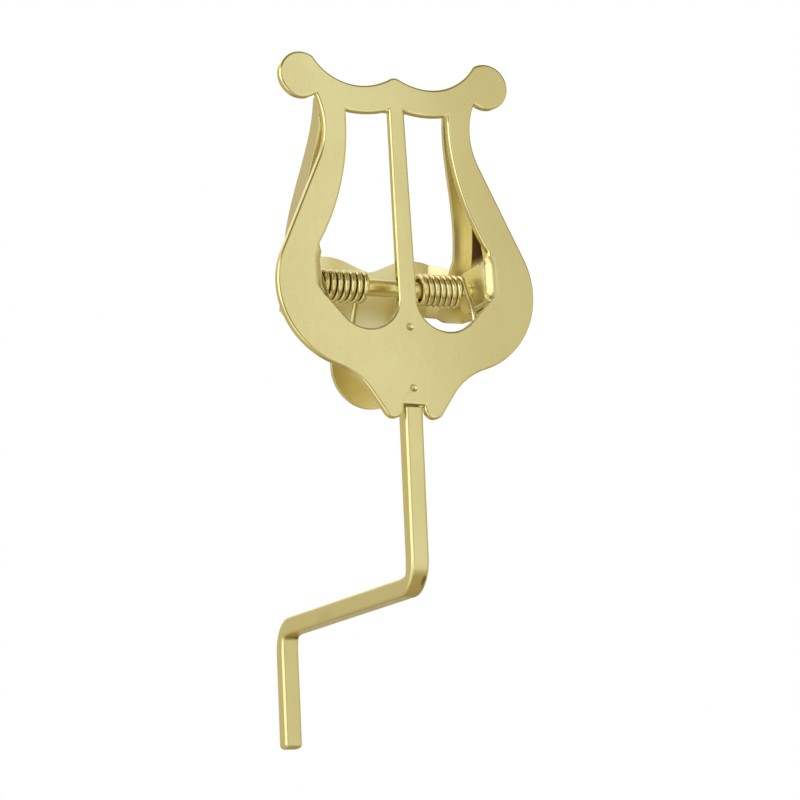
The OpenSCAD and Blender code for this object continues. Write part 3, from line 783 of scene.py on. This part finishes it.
def make_plate(name, material):
    """The stamped sheet: rounded edges all round, then the two ears folded back."""
    right = clean(opening())
    loops = plate_loops(right)
    turned = ROLL_STEPS + REAR_STEPS + 1
    points, faces, rolled = [], [], []
    # the two flat faces: their points, the loops' edges, and each point's front and rear number
    flat, edges, pairs = [], [], []
    for loop, sizes in loops:
        count = len(loop)
        first = len(points)
        profile = edge_profile(*sizes)
        for k, (move, depth) in enumerate(profile):
            points += [(p.x, p.y, depth) for p in inset(loop, move)]
            rolled += [float(0 < k < turned)] * count
        for k in range(len(profile) - 1):
            low = first + k * count
            for i in range(count):
                j = (i + 1) % count
                faces.append((low + j, low + i, low + count + i, low + count + j))
        start = len(flat)
        flat += inset(loop, sizes[0])
        edges += [(start + i, start + (i + 1) % count) for i in range(count)]
        last = first + (len(profile) - 1) * count
        pairs += [(first + i, last + i) for i in range(count)]
    for point in fold_grid(right):
        flat.append(point)
        pairs.append((len(points), len(points) + 1))
        points += [(point.x, point.y, 0.0), (point.x, point.y, PLATE_T)]
        rolled += [0.0, 0.0]

    sheet, *holes = [inset(loop, sizes[0]) for loop, sizes in loops]
    corners, _, triangles, sources, *_ = delaunay_2d_cdt(flat, edges, [], 0, 1e-7)
    for triangle in triangles:
        middle = sum((corners[i] for i in triangle), Vector((0, 0))) / 3
        if holds(sheet, middle) and not any(holds(hole, middle) for hole in holes):
            ids = [sources[i][0] for i in triangle]
            faces.append(tuple(pairs[i][0] for i in ids))
            faces.append(tuple(pairs[i][1] for i in reversed(ids)))

    placed = [head_point(x, y - PIN_Y, z - PIN_Z) for x, y, z in (formed(*p) for p in points)]
    piece = new_mesh(name, placed, faces)
    mark_rounding(piece, rolled)
    dress(piece, material)
    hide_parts("front_plate")
    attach(piece, "frame")


# ==== stem, in mm

BAR = 4.76
SHANK_LEN = 31.4
REACH = 84.3
BEND_IN_R = 1.2
BEND_OUT_R = 8.5
BEND_STEPS = 14
# the bar's long corners, its lower end and the tongue's end
BAR_ROUND, LEAST_ROUND, BAR_STEPS = 0.8, 0.25, 5
END_ROUND, END_STEPS = 1.1, 6
TIP_ROUND, TIP_STEPS = 0.3, 3
# the tongue behind the plate starts at a shoulder with a rubbed edge
SHOULDER_Z = NOTCH_Z - 0.3
SHOULDER_ROUND = 0.4
SHOULDER_MIDDLE = 0.12
SHOULDER_ROOT = 0.15
SHOULDER_RISE = 2.5
# where the rear face's points lie from the shoulder to the tongue's top
TONGUE_REAR = (0.0, 0.01, 0.02, 0.05, 0.12)
TONGUE_TOP = 7.5
# the bar's front face lies this far behind the plate's front face
BAR_INSET = 0.2
TONGUE_Y = BAR_INSET + BAR


def head_side(y, z):
    """Side view (y, z) in mm of a point of the leaning head."""
    point = head_point(0, y - PIN_Y, z - PIN_Z) / MM
    return Vector((point.y, point.z))


def bend(outer, outer_a, inner, inner_a):
    """Pairs of points through a bend, on its outer side and its inner side.

    The outer side is one arc. The inner side is a smaller arc between two straight leads.
    """
    lead = BEND_OUT_R - BEND_IN_R - BAR
    inner_arc = arc(inner, BEND_IN_R, *inner_a, 8)
    run_in = (inner_arc[1] - inner_arc[0]).normalized() * lead
    run_out = (inner_arc[-1] - inner_arc[-2]).normalized() * lead
    track = [inner_arc[0] - run_in] + inner_arc + [inner_arc[-1] + run_out]
    lengths = [0.0]
    for a, b in zip(track, track[1:]):
        lengths.append(lengths[-1] + (b - a).length)
    pairs = []
    for i, point in enumerate(arc(outer, BEND_OUT_R, *outer_a, BEND_STEPS)):
        at = lengths[-1] * i / BEND_STEPS
        k = max(j for j in range(len(track) - 1) if lengths[j] <= at + TINY)
        t = (at - lengths[k]) / (lengths[k + 1] - lengths[k])
        pairs.append((point, track[k].lerp(track[k + 1], min(t, 1.0))))
    return pairs


def stem_stations():
    """The bar's sections from its lower end up: (front point, rear point, shrink) in side view."""
    half = BAR / 2
    low = SHANK_LEN - half
    high = SHANK_LEN + half
    rear = -REACH + half
    front = -REACH - half
    stations = [(Vector((-half, z)), Vector((half, z)), shrink)
                for z, shrink in reversed(rounding_steps(END_STEPS, END_ROUND, END_ROUND))]
    lower = bend((half - BEND_OUT_R, high - BEND_OUT_R), (0, 90),
                 (-half - BEND_IN_R, low - BEND_IN_R), (0, 90))
    stations += [(inner, outer, 0.0) for outer, inner in lower]
    upper = bend((front + BEND_OUT_R, low + BEND_OUT_R), (-90, -180),
                 (rear + BEND_IN_R, high + BEND_IN_R), (270, 180))
    stations += [(outer, inner, 0.0) for outer, inner in upper]

    ledge = head_side(PLATE_T, SHOULDER_Z)
    start = Vector((rear, ledge.y))
    top_rear = head_side(TONGUE_Y, TONGUE_TOP)
    fronts = [
        Vector((front, ledge.y - SHOULDER_ROUND)),
        Vector((front + SHOULDER_MIDDLE, ledge.y - SHOULDER_MIDDLE)),
        Vector((front + SHOULDER_ROUND, ledge.y)),
        ledge - Vector((SHOULDER_ROOT, 0)),
        head_side(PLATE_T, SHOULDER_Z + SHOULDER_ROOT),
        head_side(PLATE_T, SHOULDER_Z + SHOULDER_RISE),
    ]
    rears = [start - Vector((0, SHOULDER_ROUND))]
    rears += [start.lerp(top_rear, t) for t in TONGUE_REAR]
    stations += [(a, b, 0.0) for a, b in zip(fronts, rears)]
    for down, shrink in rounding_steps(TIP_STEPS, TIP_ROUND, TIP_ROUND):
        z = TONGUE_TOP - down
        stations.append((head_side(PLATE_T, z), head_side(TONGUE_Y, z), shrink))
    return stations


def make_stem(name, material):
    """The bent square bar, its corners rolled, from the shank's lower end to the tongue's top."""
    half = BAR / 2
    stations = stem_stations()
    points = []
    rolled = []
    for front, rear, shrink in stations:
        along = rear - front
        depth = along.length
        along.normalize()
        core = max(LEAST_ROUND, BAR_ROUND - shrink * 0.5)
        for corner, (to_x, to_rear) in enumerate(((1, 1), (-1, 1), (-1, -1), (1, -1))):
            for i in range(BAR_STEPS + 1):
                a = RIGHT_ANGLE * (corner + i / BAR_STEPS)
                x = to_x * (half - core - shrink) + core * math.cos(a)
                u = depth / 2 + to_rear * (depth / 2 - core - shrink) + core * math.sin(a)
                side = front + along * u
                points.append(Vector((x, side.x, side.y)) * MM)
                rolled.append(float(0 < i < BAR_STEPS or shrink > 0))
    piece = new_mesh(name, points, skin(len(stations), 4 * (BAR_STEPS + 1)))
    mark_rounding(piece, rolled)
    dress(piece, material)
    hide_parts("stem")
    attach(piece, "frame")


# ==== springs

TURN_STEPS = 40
COIL_STEPS = COIL_TURNS * TURN_STEPS
REAR_LEG_STEPS, FRONT_LEG_STEPS, FOOT_STEPS = 12, 7, 12


def spring_path(x0, x1):
    """The wire's middle line in mm from the hinge axis, from the rear leg's tip to the foot."""
    sweep = math.tau * COIL_TURNS + math.pi - REAR_LEG_A - FRONT_LEG_A

    def coil(i):
        a = REAR_LEG_A + sweep * i / COIL_STEPS
        x = x0 + (x1 - x0) * i / COIL_STEPS
        return Vector((x, COIL_R * math.cos(a), COIL_R * math.sin(a)))

    rear = Vector((0, math.sin(REAR_LEG_A), -math.cos(REAR_LEG_A))) * REAR_LEG_LEN
    front = Vector((0, -math.sin(FRONT_LEG_A), -math.cos(FRONT_LEG_A))) * FRONT_LEG_LEN
    points = [coil(0) + rear * i / REAR_LEG_STEPS for i in range(REAR_LEG_STEPS, 0, -1)]
    points += [coil(i) for i in range(COIL_STEPS + 1)]
    points += [coil(COIL_STEPS) + front * i / FRONT_LEG_STEPS for i in range(1, FRONT_LEG_STEPS)]
    knee = coil(COIL_STEPS) + front
    for i in range(FOOT_STEPS + 1):
        a = FRONT_LEG_A * (1 - i / FOOT_STEPS)
        down = math.sin(FRONT_LEG_A) - math.sin(a)
        inward = math.cos(a) - math.cos(FRONT_LEG_A)
        points.append(knee + Vector((0, -inward * FOOT_BEND_R, -down * FOOT_BEND_R)))
    points.append(points[-1] + Vector((0, 0, -FOOT_LEN)))
    return points


def make_spring(name, node, side, material):
    """A torsion spring, its outer end against the frame and its inner end against the jaw, built
    as one wire in place.
    """
    x0, x1 = COIL_ENDS[node]
    path = [head_point(side * p.x, p.y, p.z) for p in spring_path(x0, x1)]
    piece = tube(name, path, WIRE_R * MM)
    dress(piece, material)
    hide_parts(node)
    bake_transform(piece)


# ==== light, floor and camera

# the studio's light away from its areas
STUDIO = (0.62, 0.57, 0.42, 1.0)
# the areas, each laid over those before: azimuth from the front towards +X, elevation, full to
# and gone at, all in degrees, then the light
LOBES = [
    (-130, 54, 18, 31, (1.50, 1.45, 1.30, 1.0)),
    (24, 5, 34, 64, (0.80, 0.785, 0.715, 1.0)),
    (105, 10, 22, 50, (0.62, 0.58, 0.45, 1.0)),
    (156, 14, 20, 42, (1.25, 1.22, 1.14, 1.0)),
    (-76, -10, 40, 54, (1.05, 1.03, 0.98, 1.0)),
    (-30, -19, 9, 17, (1.5, 1.45, 1.25, 1.0)),
    (-44, 14, 15, 24, (1.9, 1.9, 1.95, 1.0)),
    (-72, 14, 15, 24, (1.9, 1.9, 1.95, 1.0)),
    (-100, 14, 15, 24, (1.9, 1.9, 1.95, 1.0)),
    (-30, 12, 7, 12, (1.6, 1.58, 1.5, 1.0)),
    (-4, 5, 9, 18, (0.30, 0.26, 0.19, 1.0)),
    (0, 58, 24, 36, (0.22, 0.18, 0.11, 1.0)),
    (80, 44, 20, 32, (0.26, 0.22, 0.14, 1.0)),
    (150, -32, 22, 32, (0.40, 0.33, 0.18, 1.0)),
    (70, -58, 30, 42, (0.45, 0.38, 0.22, 1.0)),
]

# the floor, in metres
FLOOR_Z = -0.35
FLOOR_HALF = 2.5

# the light card: a point on the plate in metres, the way from it to the card's right edge in
# degrees and metres, then the card's size and its light
CARD_EDGE = (0.011, -0.086, 0.11)
CARD_AZIMUTH, CARD_ELEVATION, CARD_AWAY = 24, 8, 0.12
CARD_WIDTH, CARD_HEIGHT = 0.066, 0.34
CARD_POWER, CARD_TONE = 0.0195, (0.86, 1.03, 1.40)


def direction(azimuth, elevation):
    a = math.radians(azimuth)
    e = math.radians(elevation)
    return Vector((math.sin(a) * math.cos(e), -math.cos(a) * math.cos(e), math.sin(e)))


def make_world():
    """The studio as the brass sees it, and white paper behind the object."""
    world = bpy.data.worlds.new("studio")
    bpy.context.scene.world = world
    world.use_nodes = True
    n = Nodes(world.node_tree)
    coords = n.add("ShaderNodeTexCoord")
    light = STUDIO
    for azimuth, elevation, full, gone, colour in LOBES:
        dot = n.add("ShaderNodeVectorMath", operation="DOT_PRODUCT")
        n.link(coords.outputs["Generated"], dot.inputs[0])
        dot.inputs[1].default_value = direction(azimuth, elevation)
        inner = math.cos(math.radians(full))
        outer = math.cos(math.radians(gone))
        share = n.scaled(dot.outputs["Value"], outer, inner, 0.0, 1.0, smooth=True)
        light = n.blend(share, light, colour)
    studio = n.add("ShaderNodeBackground")
    n.feed(studio, "Color", light)
    paper = n.add("ShaderNodeBackground")
    n.feed(paper, "Color", WHITE)
    path = n.add("ShaderNodeLightPath")
    mix = n.add("ShaderNodeMixShader")
    n.link(path.outputs["Is Camera Ray"], mix.inputs[0])
    n.link(studio.outputs[0], mix.inputs[1])
    n.link(paper.outputs[0], mix.inputs[2])
    n.link(mix.outputs[0], n.add("ShaderNodeOutputWorld").inputs[0])


def make_floor():
    corners = ((-1, -1), (1, -1), (1, 1), (-1, 1))
    points = [(x * FLOOR_HALF, y * FLOOR_HALF, FLOOR_Z) for x, y in corners]
    floor = new_mesh("floor", points, [(0, 1, 2, 3)])
    dress(floor, matte("paper", PAPER))
    floor.visible_glossy = False


def make_card():
    """A soft light card that faces the plate."""
    data = bpy.data.lights.new("card", "AREA")
    data.shape = "RECTANGLE"
    data.size = CARD_WIDTH
    data.size_y = CARD_HEIGHT
    data.energy = CARD_POWER
    data.color = CARD_TONE
    card = bpy.data.objects.new("card", data)
    bpy.context.scene.collection.objects.link(card)
    azimuth = math.radians(CARD_AZIMUTH)
    towards = direction(CARD_AZIMUTH, CARD_ELEVATION)
    left = Vector((-math.cos(azimuth), -math.sin(azimuth), 0))
    card.location = Vector(CARD_EDGE) + towards * CARD_AWAY + left * CARD_WIDTH / 2
    card.rotation_euler = towards.to_track_quat("Z", "Y").to_euler()
    card.visible_camera = False


def make_camera():
    data = bpy.data.cameras.new("camera")
    data.lens = CAMERA_LENS
    data.sensor_width = CAMERA_SENSOR
    data.clip_start = CAMERA_NEAR
    data.clip_end = CAMERA_FAR
    camera = bpy.data.objects.new("camera", data)
    bpy.context.scene.collection.objects.link(camera)
    right = Vector(CAMERA_RIGHT).normalized()
    up = (Vector(CAMERA_UP) - Vector(CAMERA_UP).dot(right) * right).normalized()
    turn = Matrix((right, up, right.cross(up))).transposed().to_4x4()
    camera.matrix_world = Matrix.Translation(CAMERA_AT) @ turn
    bpy.context.scene.camera = camera


# ==== the object

# the plate: painted light on the inner sides of its ears
plate_brass = brass(
    "plate_brass", (0.745, 0.66, 0.315, 1.0), (0.725, 0.635, 0.285, 1.0),
    rough=0.26, grain=(1, 1, 0.25), recess=0.10, dull_and_painted_light=ears_dull_and_painted_light)
# the jaw: painted shade inside its flanges, and painted light on its front faces above the tab and
# on the tab's corner
jaw_brass = brass(
    "jaw_brass", (0.75, 0.67, 0.365, 1.0), (0.73, 0.645, 0.33, 1.0),
    rough=0.24, recess=0.12, metal=0.92, marks_and_shade=flange_painted_shade, dull_and_painted_light=jaw_dull_and_painted_light)
# the stem: a real pinch and vice bites, and painted shade in the lower bend's crease
stem_brass = brass(
    "stem_brass", (0.775, 0.685, 0.33, 1.0), (0.75, 0.655, 0.295, 1.0),
    grain=(1, 1, 0.1), polish=-0.04, marks_and_shade=bending_marks_and_crease_shade)
# the springs get the strongest painted shade, in the gaps between their coils
spring_brass = brass(
    "spring_brass", (0.76, 0.68, 0.36, 1.0), (0.72, 0.63, 0.30, 1.0),
    rough=0.15, recess=0.6, recess_from=0.7)
pin_brass = brass(
    "pin_brass", (0.88, 0.78, 0.37, 1.0), (0.82, 0.72, 0.32, 1.0),
    rough=0.28, recess=0.10, metal=0.90)
rivet_brass = brass(
    "rivet_brass", (0.74, 0.655, 0.31, 1.0), (0.71, 0.62, 0.27, 1.0),
    rough=0.28)

# CAD nodes that keep their meshes: material, width of the rounded edge and weld distance in mm
for node, material, width, merge in [
    ("rear_jaw", jaw_brass, 0.28, 0.26),
    ("pivot_pin", pin_brass, 0.15, 0.001),
    ("stem_rivets", rivet_brass, 0.15, 0.001),
]:
    piece = frame["nodes"][node]
    dress(piece, material)
    round_edges(piece, width, merge)

make_plate("plate_sheet", plate_brass)
make_stem("stem_bar", stem_brass)
make_spring("spring_right_wire", "spring_right", 1, spring_brass)
make_spring("spring_left_wire", "spring_left", -1, spring_brass)

make_world()
make_floor()
make_card()
make_camera()

scene = bpy.context.scene
scene.view_settings.view_transform = "Standard"
